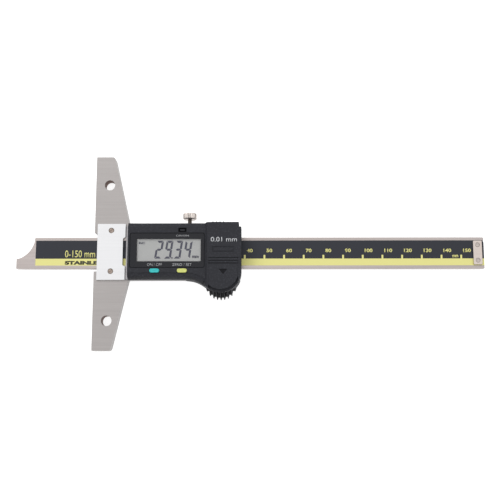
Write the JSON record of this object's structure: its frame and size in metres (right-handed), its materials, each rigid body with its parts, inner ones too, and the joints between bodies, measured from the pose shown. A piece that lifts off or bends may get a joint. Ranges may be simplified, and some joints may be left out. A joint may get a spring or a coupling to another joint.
{
  "type": "digital depth gauge",
  "caption": "Electronic depth gauge: a flat scale beam slides through a tapered cross base and a display head with keys, battery lid, data port cover, thumb rest and clamp screw.",
  "frame": {"origin": "midway between the base's two fixing holes, in the plane of the base's back, on which the gauge lies", "axes": "+X along the beam away from the measuring tip, +Y along the base towards the clamp screw, +Z out of the display"},
  "size_m": [0.238, 0.1, 0.0155],
  "materials": {
    "base_steel": "satin ground steel with faint rose warmth",
    "plate_satin": "bright satin plated steel",
    "screw_bronze": "small slotted screw, warm grey",
    "screw_steel": "zinc plated",
    "frame_steel": "satin stainless steel",
    "bronze": "plain",
    "black_steel": "blackened",
    "brass": "plain",
    "knurled_steel": "knurled, nickel plated",
    "black_plastic": "fine moulded texture, charcoal black",
    "bezel_black": "smooth black",
    "clear_lens": "clear acrylic",
    "lcd_grey": "silver grey liquid crystal panel with blue-grey segments",
    "white_plastic": "plain",
    "zebra_rubber": "striped conductive rubber",
    "board_green": "solder mask",
    "chip_black": "moulded package",
    "pad_rubber": "plain",
    "button_teal": "smooth",
    "button_yellow": "smooth",
    "key_grey": "plain",
    "cell_steel": "nickel plated",
    "beam_steel": "ground stainless steel, brushed along its length",
    "scale_board_brown": "glass-epoxy board",
    "foil_black": "printed foil, satin black",
    "foil_yellow": "printed pale yellow",
    "stop_steel": "polished stop plate"
  },
  "bodies": {
    "head": {"base_block": "base_steel", "base_plate": "plate_satin", "base_plate_screws": "screw_bronze", "base_joint_screws": "screw_steel", "slider_frame": "frame_steel", "gib_strip": "bronze", "gib_set_screws": "black_steel", "rear_plate": "plate_satin", "rear_plate_screws": "screw_steel", "lower_housing": "black_plastic", "front_housing": "black_plastic", "housing_screws": "screw_steel", "display_bezel": "bezel_black", "lcd_window": "clear_lens", "lcd_glass": "lcd_grey", "lcd_holder": "white_plastic", "zebra_strips": "zebra_rubber", "circuit_board": "board_green", "controller_chip": "chip_black", "detector_board": "board_green", "button_pad": "pad_rubber", "battery": "cell_steel", "battery_contacts": "brass", "data_connector": "chip_black"},
    "beam": {"beam_bar": "beam_steel", "scale_board": "scale_board_brown", "scale_foil": "foil_black", "scale_band": "foil_yellow", "end_stop": "stop_steel", "end_stop_screws": "stop_steel"},
    "on_off": {"on_off_button": "button_teal"},
    "zero": {"zero_button": "button_yellow"},
    "origin": {"origin_button": "key_grey"},
    "lid": {"battery_lid": "black_plastic"},
    "port_cover": {"data_port_cover": "black_plastic"},
    "clamp_tip": {"clamp_pad": "brass"},
    "clamp": {"clamp_screw": "knurled_steel"}
  },
  "joints": [
    {"name": "beam_slide", "type": "slide", "parent": "head", "child": "beam", "axis": [1, 0, 0], "range_m": [-0.1204, 0.0396]},
    {"name": "on_off_press", "type": "slide", "parent": "head", "child": "on_off", "axis": [0, 0, -1], "range_m": [0, 0.0004], "stiffness_N_per_m": 1500},
    {"name": "zero_press", "type": "slide", "parent": "head", "child": "zero", "axis": [0, 0, -1], "range_m": [0, 0.0004], "stiffness_N_per_m": 1500},
    {"name": "origin_press", "type": "slide", "parent": "head", "child": "origin", "axis": [0, 0, -1], "range_m": [0, 0.0004], "stiffness_N_per_m": 1500},
    {"name": "lid_slide", "type": "slide", "parent": "head", "child": "lid", "axis": [0, -1, 0], "range_m": [0, 0.02]},
    {"name": "port_cover_pull", "type": "slide", "parent": "head", "child": "port_cover", "axis": [0, 1, 0], "range_m": [0, 0.005]},
    {"name": "clamp_travel", "type": "slide", "parent": "head", "child": "clamp_tip", "axis": [0, -1, 0], "range_m": [-0.00019, 0.00019]},
    {"name": "clamp_turn", "type": "hinge", "parent": "clamp_tip", "child": "clamp", "pos_m": [0.0414, 0.0189, 0.00418], "axis": [0, -1, 0], "range_deg": [-179.5, 179.5]}
  ],
  "couplings": [
    {"joint": "clamp_turn", "follows": "clamp_travel", "rad_per_m": 15708}
  ]
}
